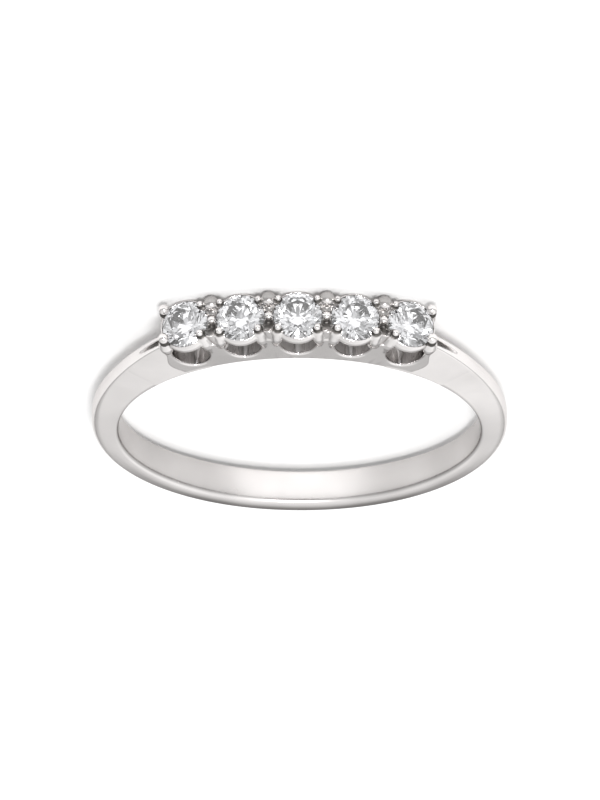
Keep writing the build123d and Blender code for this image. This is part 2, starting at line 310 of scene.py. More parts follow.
def new_piece(name, shells, enlarged=1.0):
    """One mesh object from several closed skins, with all faces turned outwards."""
    offsets = np.cumsum([0] + [len(points) for points, faces in shells[:-1]])
    vertices = np.concatenate([points for points, faces in shells]) * enlarged
    faces = [[corner + int(offset) for corner in face]
             for (points, own), offset in zip(shells, offsets) for face in own]
    mesh = bpy.data.meshes.new(name)
    mesh.from_pydata(vertices, [], faces)
    work = bmesh.new()
    work.from_mesh(mesh)
    bmesh.ops.recalc_face_normals(work, faces=work.faces)
    work.to_mesh(mesh)
    work.free()
    piece = bpy.data.objects.new(name, mesh)
    bpy.context.scene.collection.objects.link(piece)
    return piece


def points_of(piece):
    """The points of a piece's mesh."""
    points = np.empty(len(piece.data.vertices) * 3, dtype=np.float32)
    piece.data.vertices.foreach_get("co", points)
    return points.reshape(-1, 3).astype(float)


def store(piece, name, values):
    """Keeps a value for each point of a piece as an attribute of its mesh."""
    stored = piece.data.attributes.new(name, "FLOAT", "POINT")
    stored.data.foreach_set("value", values.astype(np.float32))


def bake(piece):
    """Works a piece's modifiers into its mesh."""
    bpy.context.view_layer.update()
    graph = bpy.context.evaluated_depsgraph_get()
    mesh = bpy.data.meshes.new_from_object(piece.evaluated_get(graph))
    piece.modifiers.clear()
    old = piece.data
    piece.data = mesh
    bpy.data.meshes.remove(old)
    mesh.name = piece.name


def cut(skin, cutters):
    """A closed skin with each cutter taken away, worked a thousand times enlarged because small cuts fail."""
    piece = new_piece("cut", [skin], 1 / MM)
    tools = [new_piece("cutter", [cutter], 1 / MM) for cutter in cutters]
    for tool in tools:
        step = piece.modifiers.new("cut", "BOOLEAN")
        step.operation = "DIFFERENCE"
        step.solver = "FAST"
        step.object = tool
    bake(piece)
    points = points_of(piece)
    faces = [list(face.vertices) for face in piece.data.polygons]
    for part in (piece, *tools):
        bpy.data.meshes.remove(part.data)
    if not faces:
        raise RuntimeError("a cut left nothing of its piece")
    return points * MM, faces


# Shank

def shank_rings(shank, angles, sink):
    """Sections of the hoop at angles in degrees, drawn in by sink.

    Half a section runs from the bore's middle along a shallow parabola, round an arc, up the side, round the
    outer corner by a conic and over a parabola to the ridge. A parabola in the radius gives the side its
    belly. The other half mirrors it.
    """
    stations = SHANK_STATIONS[:, 0]
    back = np.where(angles > 180, 360 - angles, angles)
    deep, wide, ridged, rounded, domed, cornered, bellied = (
        smooth_through(back, stations, column)[:, None] for column in SHANK_STATIONS.T[1:])
    sink = sink[:, None]
    depth = shank.depth + deep * (shank.shoulder_depth - shank.depth) - sink
    inner = shank.half_width + wide * (shank.shoulder_half_width - shank.half_width) - sink
    outer = shank.half_width + ridged * (shank.ridge_half_width - shank.half_width) - sink
    bore_round = shank.bore_round * rounded
    dome = domed * MM
    corner_round = cornered * MM
    bore = shank.bore_radius + sink
    bulge = shank.comfort * rounded
    flare = np.arctan(2 * bulge / (inner - bore_round))
    crown = np.linspace(0, 1, 12)[None, :]
    flat = side = arc = crown[:, :-1]
    turn = flare + (pi / 2 - flare) * np.linspace(0, 1, 9)[None, :-1]
    rise = shank.bore_radius + depth - dome - bore - bore_round
    lean = (inner - outer) / rise
    side_top = 1 - corner_round / rise
    flat_r, flat_z = bore + bulge * flat**2, flat * (inner - bore_round * (1 - np.sin(flare)))
    turn_r = bore + bulge + (bore_round - bulge) * (np.cos(flare) - np.cos(turn)) / np.cos(flare)
    turn_z = inner - bore_round + bore_round * np.sin(turn)
    side_r = bore + bore_round + side * side_top * rise
    side_z = inner - (side_r - bore - bore_round) * lean
    start_r, start_z = bore + bore_round + side_top * rise, inner - side_top * rise * lean
    corner_r, corner_z = shank.bore_radius + depth - dome, outer
    end_z = np.maximum(outer - corner_round, 0.02 * outer)
    end_r = shank.bore_radius + depth - dome * (end_z / outer) ** 2
    weight = 2 * arc * (1 - arc) * cos(pi / 4)
    total = (1 - arc) ** 2 + weight + arc**2
    arc_r = ((1 - arc) ** 2 * start_r + weight * corner_r + arc**2 * end_r) / total
    arc_z = ((1 - arc) ** 2 * start_z + weight * corner_z + arc**2 * end_z) / total
    crown_z = end_z * (1 - crown)
    crown_r = shank.bore_radius + depth - dome * (crown_z / outer) ** 2
    radius = np.concatenate([flat_r, turn_r, side_r, arc_r, crown_r], axis=1)
    height = np.concatenate([flat_z, turn_z, side_z, arc_z, crown_z], axis=1)
    belly = 1 - ((radius - shank.bore_radius - depth / 2) / (depth / 2)) ** 2
    height = height + bellied * MM * np.clip(belly, 0, 1) * height / inner
    radius = np.concatenate([radius, radius[:, -2:0:-1]], axis=1)
    height = np.concatenate([height, -height[:, -2:0:-1]], axis=1)
    return round_ring(radius, np.radians(angles)[:, None], height)


def hoop_shade_share(shank, points):
    """How far each point of the hoop is darkened by painted shade, from 0 to 1.

    The outer face at the back takes the full painted dark reflection, and the bore up to half of it on both
    sides of a patch at the back that is left bright.
    """
    radius = np.hypot(points[:, 0], points[:, 1])
    over_back = rising(points[:, 1], 2.0 * MM, 6.0 * MM)
    outer = rising(radius, shank.bore_radius + 0.10 * shank.depth, 0.35 * shank.depth)
    inner = falling(radius, shank.bore_radius + 0.16 * MM, 0.10 * MM)
    beside = rising(np.abs(points[:, 0]), 1.2 * MM, 3.8 * MM)
    return np.maximum(outer * over_back, 0.50 * inner * beside**2 * (3 - 2 * beside))


# Gallery

def stone_frame(head, step, height=0.0):
    """Origin, direction along the row and outward axis of a stone, at a height over its girdle."""
    turn = step * 2 * asin(head.stone_pitch / 2 / head.row_radius)
    centre = Vector((0, head.row_radius - head.girdle_radius, 0))
    axis = Vector((sin(turn), -cos(turn), 0))
    return centre + axis * (head.row_radius + height), Vector((cos(turn), sin(turn), 0)), axis


def window_frame(shank, head, step):
    """Foot, direction along the row and outward direction of a window."""
    turn = step * head.window_pitch
    radius = shank.bore_radius + head.bar_depth
    foot = Vector((radius * sin(turn), -radius * cos(turn), 0))
    outwards = (stone_frame(head, step)[0] - foot).normalized()
    return foot, Vector((-outwards.y, outwards.x, 0)), outwards


def wall_half(shank, head, radius):
    """Half the gallery's thickness at a radius: it grows evenly from the bore to the collars."""
    top = head.girdle_radius - head.collar_depth - 0.5 * head.collar_wall
    climb = (radius - shank.bore_radius) / (top - shank.bore_radius)
    return head.half_width_at_bore + (head.half_width_at_top - head.half_width_at_bore) * climb


def window_cutter(shank, head, step):
    """A prism through both walls: half an ellipse from the foot, then straight sides up to the girdle.

    Where it comes out of a wall it widens by as much as it advances, which breaks the window's edge.
    """
    foot, along, outwards = window_frame(shank, head, step)
    reach = (stone_frame(head, step)[0] - foot).length
    turn = np.linspace(-pi, 0, 49)
    half_width = head.window_width / 2
    outline = np.stack([np.append(half_width * np.cos(turn), [half_width, -half_width]),
                        np.append(head.window_height * (1 + np.sin(turn)), [reach, reach])], axis=-1)
    away = np.stack([np.append(np.cos(turn) / half_width, [1, -1]),
                     np.append(np.sin(turn) / head.window_height, [0, 0])], axis=-1)
    away /= np.linalg.norm(away, axis=1)[:, None]
    plane = np.array([along, outwards])
    inner = np.array(foot) + outline @ plane
    outer = inner + 3 * head.window_edge * away @ plane
    half = wall_half(shank, head, np.hypot(inner[:, 0], inner[:, 1]))
    inner[:, 2] = half - head.window_edge
    outer[:, 2] = half + 2 * head.window_edge
    return tube(np.stack([outer * (1, 1, -1), inner * (1, 1, -1), inner, outer]))


def scoop_cutter(shank, side):
    """A wedge from a wide mouth behind the end claw to a thin tail along the shoulder."""
    mouth = shank.ridge_half_width - shank.scoop_wall
    ridge = shank.bore_radius + shank.shoulder_depth
    tail = shank.bore_radius + shank.depth + 0.46 * (shank.shoulder_depth - shank.depth)
    rows = [
        (shank.scoop_start, ridge + 0.4 * MM, ridge - shank.scoop_depth, 1.3 * mouth, 0.5 * mouth),
        (shank.scoop_end, tail + 0.4 * MM, tail + 0.1 * MM, 0.3 * mouth, 0.1 * mouth),
    ]
    rings = [round_ring(np.array([high, high, low, low]), side * turn, np.array([wide, -wide, -thin, thin]))
             for turn, high, low, wide, thin in rows]
    return tube(np.stack(rings))


def gallery_plate(shank, head):
    """The gallery's wall, seen along the finger axis, as a patch between four borders.

    The right border is a quarter circle beside the last collar, then the cup's arc down to the bore, and the
    left one mirrors it. The low border is the bore's circle, and the high one an arc over the row's middle.
    A point is the blend of left and right plus the blend of low and high less the blend of the corners.
    """
    last = (head.stone_count - 1) / 2
    foot = window_frame(shank, head, last)[0]
    end_half = head.window_width / 2 + head.post_width
    side = foot.x + end_half
    bar = shank.bore_radius + head.bar_depth
    shoulder = -bar * cos(last * head.window_pitch) - 0.6 * end_half
    corner_round = 0.55 * MM
    top = stone_frame(head, last, -head.collar_depth - corner_round)[0].y
    peak = stone_frame(head, 0, -head.collar_depth - 0.1 * MM)[0].y
    cup_bend = radians(58)
    sweep = np.linspace(0, cup_bend, 28)
    cup_x = side - head.end_round * (1 - np.cos(sweep))
    cup_y = shoulder + head.end_round * np.sin(sweep)
    cup = np.stack([cup_x, cup_y], axis=-1)[np.hypot(cup_x, cup_y) > shank.bore_radius]
    corner_turn = np.linspace(pi / 2, 0, 8)
    round_part = np.stack([side - corner_round + corner_round * np.cos(corner_turn),
                           top + corner_round * (1 - np.sin(corner_turn)) + 0.06 * MM], axis=-1)
    right = np.concatenate([round_part, cup])[::-1]
    spaced = np.linspace(0, 1, 60)
    arc_length = np.concatenate([[0], np.cumsum(np.hypot(*np.diff(right, axis=0).T))])
    evenly = spaced * arc_length[-1]
    right = np.stack([np.interp(evenly, arc_length, coordinate) for coordinate in right.T], axis=-1)
    left = right * (-1, 1)
    across = np.linspace(-1, 1, 120)
    end_turn = np.arctan2(right[0, 0], -right[0, 1])
    low = round_ring(shank.bore_radius, across * end_turn, 0.0)[:, :2]
    half_chord, sag = right[-1, 0], right[-1, 1] - peak
    arc_radius = (half_chord**2 + sag**2) / (2 * sag)
    high_x = across * half_chord
    high = np.stack([high_x, peak + arc_radius - np.sqrt(arc_radius**2 - high_x**2)], axis=-1)
    u, v = (across[:, None, None] + 1) / 2, spaced[None, :, None]
    sides = (1 - u) * left[None] + u * right[None]
    ends = (1 - v) * low[:, None] + v * high[:, None]
    corners = ((1 - u) * ((1 - v) * left[0] + v * left[-1]) + u * ((1 - v) * right[0] + v * right[-1]))
    flat = sides + ends - corners
    return slab(flat, wall_half(shank, head, np.hypot(flat[..., 0], flat[..., 1])))


def collar(head, step):
    """The seat under a girdle: a closed loop of radius and height carried round the stone's axis."""
    origin, along, axis = stone_frame(head, step)
    outer = head.stone_radius + head.collar_wall
    loop = [
        (0.55 * head.stone_radius, -GIRDLE_HALF),
        (head.stone_radius, -GIRDLE_HALF),
        (head.stone_radius + 0.02 * MM, 0.05 * MM),
        (outer - 0.08 * MM, 0.03 * MM),
        (outer - 0.02 * MM, -0.08 * MM),
        (outer, -0.20 * MM),
        (outer - 0.02 * MM, -head.collar_depth),
        (0.74 * head.stone_radius, -head.collar_depth - 0.12 * MM),
    ]
    return tube(turned(loop, origin, axis, 96), wrapped=True)


def claw(shank, head, step, side, face):
    """A claw from the gallery's wall beside a window up and over the girdle, with a small bead on a shoulder.

    Its profile is straight spans from foot to waist to shoulder, then a circle's arc for the bead. The claws
    on the far face are slimmer. The bead's middle, the claw's direction and the bead's radius come with it.
    """
    origin, along, axis = stone_frame(head, step)
    tip = origin + along * side * head.claw_spread + axis * head.claw_rise
    tip.z = face * head.claw_half_span
    window_foot, across, outwards = window_frame(shank, head, step)
    foot = origin - outwards * head.claw_drop
    foot += across * side * (head.window_width / 2 + head.claw_radius - head.claw_inset)
    foot.z = face * head.claw_foot_half_span
    outermost = side * step == (head.stone_count - 1) / 2
    bead_share = 0.70 if face > 0 else 0.60
    bead_radius = 0.85 * head.end_claw_tip_radius if outermost else bead_share * head.claw_tip_radius
    reach = (tip - foot).length
    waist = head.claw_waist_share * reach
    shoulder = reach - 2.2 * bead_radius
    stout = head.claw_radius if face > 0 else 0.82 * head.claw_radius
    stem = [(head.claw_foot_radius, 0), (0.93 * stout, 0.8 * waist), (stout, waist), (0.83 * stout, shoulder),
            (0.77 * stout, shoulder + 0.07 * MM), (0.68 * stout, shoulder + 0.13 * MM),
            (1.1 * bead_radius, shoulder + 0.17 * MM)]
    turn = np.linspace(radians(-50), radians(86), 14)
    bead = np.stack([bead_radius * np.cos(turn), reach + bead_radius * np.sin(turn)], axis=-1)
    skin = tube(turned(np.concatenate([stem, bead]), foot, tip - foot))
    return skin, tip, (tip - foot).normalized(), bead_radius


def web(head, gap, face):
    """The round post between the claws of two neighbouring stones, with a top that slopes down to the bead.

    Each side line of a cone from foot to top is shared out between its foot and the point where it meets
    the sloped plane through the post's outer edge. On the far face the post is a plain domed rod.
    """
    top, along, axis = stone_frame(head, gap, head.web_rise)
    foot = stone_frame(head, gap, -head.web_drop)[0]
    if face < 0:
        dome_rise, further_out = 0.14 * MM, 0.13 * MM
        top = stone_frame(head, gap, dome_rise)[0]
        top.z = foot.z = -(head.web_half_span + further_out)
        return domed_rod(foot, top, 1.1 * head.web_radius, 1.16 * head.web_radius, 1.16 * head.web_radius)
    edge = np.array(top) + (0, 0, face * (head.web_half_span + head.web_radius))
    normal = np.array(axis) * cos(head.web_slope) - np.array((0, 0, face * sin(head.web_slope)))
    top.z = face * head.web_half_span
    foot.z = face * (head.web_half_span - head.web_lean)
    low, high = turned([(1.1 * head.web_radius, 0), (head.web_radius, (top - foot).length)], foot, top - foot)
    reach = ((edge - low) @ normal) / ((high - low) @ normal)
    share = np.linspace(0, 1, 16)[:, None, None] * reach[None, :, None]
    return tube(low[None] + share * (high - low)[None])


def bridge(head, gap):
    """The bead between two neighbouring collars."""
    top = stone_frame(head, gap, 0.04 * MM)[0]
    foot = stone_frame(head, gap, -head.collar_depth - 0.4 * MM)[0]
    return domed_rod(foot, top, 1.5 * head.bridge_radius, 1.2 * head.bridge_radius, head.bridge_radius)


def saddle(head, gap):
    """The low ridge from the bead back to the rear post: a rod along Z, just under the girdle."""
    start = stone_frame(head, gap, -0.22 * MM)[0]
    end = stone_frame(head, gap, -0.12 * MM)[0]
    start.z, end.z = -0.1 * MM, -head.web_half_span
    return domed_rod(start, end, foot_radius=0.22 * MM, waist_radius=0.26 * MM, tip_radius=0.28 * MM)


def clear_of_stones(points, head, steps):
    """Moves points that lie inside a stone's room to the nearest of its faces.

    In a stone's own radius and height the room lies over the pavilion's cone, under the crown's cone and
    inside the girdle, each moved out by a small gap. Each depth is the distance to that face, and the least
    of them is the way out.
    """
    gap = 0.022 * MM
    reach = head.stone_radius + gap
    down, up = PAVILION_SLOPE, CROWN_SLOPE
    for step in steps:
        origin, along, axis = (np.array(part) for part in stone_frame(head, step))
        height = (points - origin) @ axis
        outward = points - origin - height[:, None] * axis
        radius = np.maximum(np.linalg.norm(outward, axis=1), 1e-9)
        outward /= radius[:, None]
        depths = np.stack([
            (height + GIRDLE_HALF + gap + (reach - radius) * tan(down)) * cos(down),
            (GIRDLE_HALF + gap - height + (reach - radius) * tan(up)) * cos(up),
            reach - radius,
        ], axis=1)
        ways = np.array([(sin(down), -cos(down)), (sin(up), cos(up)), (1.0, 0.0)])
        inside = depths.min(axis=1) > 0
        least = depths[inside].argmin(axis=1)
        move = depths[inside].min(axis=1)[:, None] * ways[least]
        points[inside] += move[:, :1] * outward[inside] + move[:, 1:] * axis
    return points


def pit_share(points, head, gap):
    """How far each point takes painted shade in the pit between two stones, from 0 to 1.

    The painted shade fills a box with soft sides by PIT_ZONES, clear of the bead in its middle. Beside the
    front post a line of painted shade runs down a groove at a small distance along the row.
    """
    origin, along, axis = (np.array(part) for part in stone_frame(head, gap))
    off = points - origin
    height, along_row, across = off @ axis, np.abs(off @ along), off[:, 2]
    dark, top, wide, long = PIT_ZONES[:, np.digitize(across, PIT_ZONE_ENDS)]
    layer = falling(height, top * MM, 0.15 * MM) * rising(height, -0.60 * MM, 0.15 * MM)
    within = falling(np.abs(across), wide * MM, 0.12 * MM)
    beside = falling(along_row, long * MM, 0.10 * MM)
    off_bead = rising(np.hypot(across, along_row), 0.21 * MM, 0.04 * MM)
    line = falling(np.abs(along_row - 0.17 * MM), 0.07 * MM, 0.07 * MM) * rising(height, -0.85 * MM, 0.5 * MM)
    groove = 0.6 * line * (across > 0.70 * MM) * (height < 0.15 * MM)
    return np.maximum(dark * layer * within * beside * off_bead, groove)


def crease_share(points, tip, direction, bead_radius):
    """How far each point takes painted shade in the ring where a claw's bead meets its shoulder, from 0 to 1.
    """
    off = points - np.array(tip)
    height = off @ np.array(direction)
    radius = np.linalg.norm(off - height[:, None] * np.array(direction), axis=1)
    under = falling(height, -0.30 * bead_radius, 0.15 * bead_radius)
    near = falling(radius, 1.50 * bead_radius, 0.15 * bead_radius)
    return under * near * (height > -1.5 * bead_radius)


def scoop_share(points, shank):
    """How far each point takes painted shade in the groove of a shoulder, by its depth under the ridge, from
    0 to 1.
    """
    turn = np.degrees(np.abs(np.arctan2(points[:, 0], -points[:, 1])))
    share = smooth_through(np.clip(turn, SHOULDER_START, 180), SHANK_STATIONS[:, 0], SHANK_STATIONS[:, 1])
    ridge = shank.bore_radius + shank.depth + share * (shank.shoulder_depth - shank.depth)
    depth = ridge - np.hypot(points[:, 0], points[:, 1])
    within = (turn > 30) * (turn < 48) * (np.abs(points[:, 2]) < 0.26 * MM) * (depth < 0.8 * MM)
    return 0.6 * rising(depth, 0.05 * MM, 0.12 * MM) * within


def crevice_shade_share(points, shank, head, gaps, beads):
    """How far each point of the head is darkened by painted shade: in a pit, a crease or a scoop."""
    pits = [pit_share(points, head, gap) for gap in gaps]
    creases = [crease_share(points, *bead) for bead in beads]
    return np.maximum.reduce([scoop_share(points, shank), *pits, *creases])


def inside_share(points, shank, head):
    """How far each point of the head lies on the unpolished walls inside the gallery, from 0 to 1.

    That is by how far it is in from the gallery's outer face, over the windows' feet and under the collars.
    """
    radius = np.hypot(points[:, 0], points[:, 1])
    top = head.girdle_radius - head.collar_depth
    inwards = rising(wall_half(shank, head, radius) - np.abs(points[:, 2]), 0.10 * MM, 0.08 * MM)
    over = rising(radius, shank.bore_radius + 0.15 * MM, 0.1 * MM)
    turn = np.abs(np.arctan2(points[:, 0], -points[:, 1]))
    return inwards * over * (radius < top + 0.1 * MM) * (turn < 0.9 * shank.scoop_start)


# Materials

def new_material(name):
    """An empty node material with a Principled shader on its output."""
    material = bpy.data.materials.new(name)
    material.use_nodes = True
    tree = material.node_tree
    tree.nodes.clear()
    output = tree.nodes.new("ShaderNodeOutputMaterial")
    shader = tree.nodes.new("ShaderNodeBsdfPrincipled")
    tree.links.new(shader.outputs["BSDF"], output.inputs["Surface"])
    return material, tree, shader


def feed(tree, socket, value):
    """Links another node's output to a socket, or sets a plain value on it."""
    if isinstance(value, bpy.types.NodeSocket):
        tree.links.new(value, socket)
    else:
        socket.default_value = value


def attribute(tree, name):
    """A value that a skin carries at each of its points."""
    node = tree.nodes.new("ShaderNodeAttribute")
    node.attribute_name = name
    return node.outputs["Fac"]


def worked_out(tree, operation, *values):
    """The result of a Math node on numbers or other nodes' outputs."""
    node = tree.nodes.new("ShaderNodeMath")
    node.operation = operation
    for socket, value in zip(node.inputs, values):
        feed(tree, socket, value)
    return node.outputs["Value"]


def mixed(tree, share, first, second, kind="RGBA"):
    """Goes from a first colour or number to a second one by a share."""
    node = tree.nodes.new("ShaderNodeMix")
    node.data_type = kind
    for name, value in (("Factor", share), ("A", first), ("B", second)):
        feed(tree, node.inputs[name], value)
    return node.outputs["Result"]


def spanned(tree, value, before, after, curve="LINEAR"):
    """Takes a value from one span to another, and keeps it at the ends outside the first."""
    node = tree.nodes.new("ShaderNodeMapRange")
    node.interpolation_type = curve
    for name, end in zip(("Value", "From Min", "From Max", "To Min", "To Max"), (value, *before, *after)):
        feed(tree, node.inputs[name], end)
    return node.outputs["Result"]


def grain_group():
    """The shader node group behind every finish's unevenness, built once.

    Noise is a plain noise, mostly between 0.3 and 0.7. Spread takes that span of it from Low to High.
    """
    group = bpy.data.node_groups.get("grain")
    if group:
        return group
    group = bpy.data.node_groups.new("grain", "ShaderNodeTree")
    group.interface.new_socket("Vector", in_out="INPUT", socket_type="NodeSocketVector")
    for name in ("Scale", "Detail", "Low", "High"):
        group.interface.new_socket(name, in_out="INPUT", socket_type="NodeSocketFloat")
    for name in ("Noise", "Spread"):
        group.interface.new_socket(name, in_out="OUTPUT", socket_type="NodeSocketFloat")
    given = group.nodes.new("NodeGroupInput").outputs
    results = group.nodes.new("NodeGroupOutput").inputs
    texture = group.nodes.new("ShaderNodeTexNoise")
    for name in ("Vector", "Scale", "Detail"):
        feed(group, texture.inputs[name], given[name])
    noise = texture.outputs["Fac"]
    feed(group, results["Noise"], noise)
    feed(group, results["Spread"], spanned(group, noise, (0.3, 0.7), (given["Low"], given["High"])))
    return group


def grain(tree, scale, detail=2.0, low=0.0, high=1.0, stretch=None):
    """Both results of the grain group on Object coordinates, stretched by a Mapping node where asked."""
    place = tree.nodes.new("ShaderNodeTexCoord").outputs["Object"]
    if stretch:
        mapping = tree.nodes.new("ShaderNodeMapping")
        mapping.inputs["Scale"].default_value = stretch
        tree.links.new(place, mapping.inputs["Vector"])
        place = mapping.outputs["Vector"]
    node = tree.nodes.new("ShaderNodeGroup")
    node.node_tree = grain_group()
    for name, value in zip(("Vector", "Scale", "Detail", "Low", "High"), (place, scale, detail, low, high)):
        feed(tree, node.inputs[name], value)
    return node.outputs


def polished_metal(finish):
    """White gold: bright at the head, satin in the bore and at the back, dull in the recesses, and darkened
    there and on the hoop by painted shade.

    Two attributes of the skins take its colour to darker colours that are painted shade: painted dark
    reflections on the hoop, and painted shade in the pits, creases and scoops of the head. The roughness goes
    over from head to hoop along Y, then to the raw walls' by the raw attribute. Both drift slowly, and fine
    marks tilt the surface.
    """
    material, tree, shader = new_material("polished_white_gold")
    shader.inputs["Metallic"].default_value = 1.0
    shader.inputs["Specular Tint"].default_value = (*finish.glancing, 1)
    clouds = grain(tree, 300.0, 3.0, 0.0, 0.16)["Spread"]
    # painted shade: the hoop's painted dark reflections, then the head's painted shade in pits, creases and
    # scoops
    hoop_shade_amount = worked_out(tree, "MULTIPLY_ADD", attribute(tree, "hoop_painted_shade"), 0.9, clouds)
    body = mixed(tree, hoop_shade_amount, (*finish.metal, 1), (*finish.painted_shade_metal, 1))
    shade = mixed(tree, attribute(tree, "crevice_painted_shade"), body, (*finish.crevice_painted_shade, 1))
    tree.links.new(shade, shader.inputs["Base Color"])
    split = tree.nodes.new("ShaderNodeSeparateXYZ")
    tree.links.new(tree.nodes.new("ShaderNodeTexCoord").outputs["Object"], split.inputs["Vector"])
    polish = spanned(tree, split.outputs["Y"], (-9.0 * MM, -6.0 * MM), (finish.roughness, finish.satin))
    rough = mixed(tree, attribute(tree, "raw"), polish, finish.raw, "FLOAT")
    drift = grain(tree, 420.0, low=0.8, high=1.25)["Spread"]
    tree.links.new(worked_out(tree, "MULTIPLY", rough, drift), shader.inputs["Roughness"])
    bump = tree.nodes.new("ShaderNodeBump")
    bump.inputs["Strength"].default_value = finish.scratch
    bump.inputs["Distance"].default_value = 0.02 * MM
    tree.links.new(grain(tree, 2600.0, 4.0, stretch=(1.0, 1.0, 0.3))["Noise"], bump.inputs["Height"])
    tree.links.new(bump.outputs["Normal"], shader.inputs["Normal"])
    return material


def tinted(tree, share, tint, lift):
    """A colour that drifts up to a lift brighter by a share."""
    return mixed(tree, share, (*tint, 1), (*[min(1.0, part * lift) for part in tint], 1))


def cut_stone(finish):
    """Clear diamond: full transmission, a very faint drift of tint."""
    material, tree, shader = new_material("clear_diamond")
    shader.inputs["Metallic"].default_value = 0.0
    shader.inputs["Transmission Weight"].default_value = 1.0
    shader.inputs["Roughness"].default_value = 0.0
    shader.inputs["IOR"].default_value = finish.refraction
    tint = tinted(tree, grain(tree, 900.0)["Spread"], finish.stone, 1.02)
    tree.links.new(tint, shader.inputs["Base Color"])
    return material


def plain_floor(stage):
    """Matt pale card with a barely seen grain."""
    material, tree, shader = new_material("pale_card")
    shader.inputs["Roughness"].default_value = 0.9
    tint = tinted(tree, grain(tree, 300.0)["Noise"], stage.floor, 1.01)
    tree.links.new(tint, shader.inputs["Base Color"])
    return material


def dressed(piece, material):
    """Gives a piece its material, in a single slot."""
    piece.data.materials.clear()
    piece.data.materials.append(material)


# Operators

class RING_OT_shank(bpy.types.Operator):
    """Smooth skin of the hoop from one shoulder round the back to the other"""
    bl_idname = "ring.shank"
    bl_label = "Shank"

    def execute(self, context):
        shank = context.scene.ring_shank
        angles = np.linspace(HOOP_START, 360 - HOOP_START, 540)
        fade = 4.0
        edge = falling(np.minimum(angles, 360 - angles), HOOP_START + fade, fade)
        # drawn in by a hair all round, and by more at the ends, where the shoulders' skin lies over this one
        rings = shank_rings(shank, angles, (0.002 + 0.012 * edge) * MM)
        piece = new_piece("shank_skin", [tube(rings)])
        # painted shade: a dark reflection painted on the hoop's outer back and on the bore's sides
        store(piece, "hoop_painted_shade", hoop_shade_share(shank, rings.reshape(-1, 3)))
        piece.data.shade_smooth()
        dressed(piece, polished_metal(context.scene.ring_finish))
        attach(piece, "root")
        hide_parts("band")
        return {"FINISHED"}


class RING_OT_head(bpy.types.Operator):
    """Smooth skin of the gallery, collars, claws and shoulders, cast in one"""
    bl_idname = "ring.head"
    bl_label = "Head"

    def execute(self, context):
        shank, head = context.scene.ring_shank, context.scene.ring_head
        steps = [number - (head.stone_count - 1) / 2 for number in range(head.stone_count)]
        gaps = [step + 0.5 for step in steps[:-1]]
        shells = [cut(gallery_plate(shank, head), [window_cutter(shank, head, step) for step in steps])]
        angles = np.linspace(SHOULDER_START, SHOULDER_END, 60)
        fade = 2.5
        edge = rising(angles, SHOULDER_END - fade, fade)
        for side in (-1, 1):
            rings = shank_rings(shank, angles, 0.014 * MM * edge) * (side, 1, 1)
            shells.append(cut(tube(rings), [window_cutter(shank, head, side * steps[-1]),
                                            scoop_cutter(shank, side)]))
        shells += [collar(head, step) for step in steps]
        claws = [claw(shank, head, step, side, face)
                 for step in steps for side in (-1, 1) for face in (-1, 1)]
        shells += [skin for skin, *bead in claws]
        shells += [web(head, gap, face) for gap in gaps for face in (-1, 1)]
        shells += [link(head, gap) for gap in gaps for link in (bridge, saddle)]
        piece = new_piece("head_skin", shells)
        joined = piece.modifiers.new("one skin", "REMESH")
        joined.mode = "VOXEL"
        joined.voxel_size = head.voxel
        soften = piece.modifiers.new("soft edges", "SMOOTH")
        soften.factor = 0.5
        soften.iterations = 4
        bake(piece)
        triangles = sum(len(face.vertices) - 2 for face in piece.data.polygons)
        if not triangles:
            raise RuntimeError("the head's skin came out empty")
        if triangles > MOST_TRIANGLES:
            thin = piece.modifiers.new("fewer faces", "DECIMATE")
            thin.ratio = MOST_TRIANGLES / triangles
            bake(piece)
        points = clear_of_stones(points_of(piece), head, steps)
        piece.data.vertices.foreach_set("co", points.astype(np.float32).ravel())
        inside = inside_share(points, shank, head)
        # painted shade: the walls inside are darker from just in front of the row's middle to the far face
        deep = 0.65 * inside * falling(points[:, 2], 0.22 * MM, 0.15 * MM)
        beads = [bead for skin, *bead in claws]
        # painted shade in pits, creases, scoops and on the far inside walls, kept for the metal's colour; the
        # same marks also make the metal rough
        dark = np.maximum(crevice_shade_share(points, shank, head, gaps, beads), deep)
        store(piece, "crevice_painted_shade", dark)
        store(piece, "raw", np.maximum(inside, dark))
        piece.data.update()
        piece.data.shade_smooth()
        dressed(piece, bpy.data.materials["polished_white_gold"])
        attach(piece, "root")
        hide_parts("band")
        return {"FINISHED"}


class RING_OT_stones(bpy.types.Operator):
    """Clear material on each cut stone"""
    bl_idname = "ring.stones"
    bl_label = "Stones"

    def execute(self, context):
        material = cut_stone(context.scene.ring_finish)
        for name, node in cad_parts.items():
            if name.startswith("diamond_"):
                dressed(node, material)
        return {"FINISHED"}


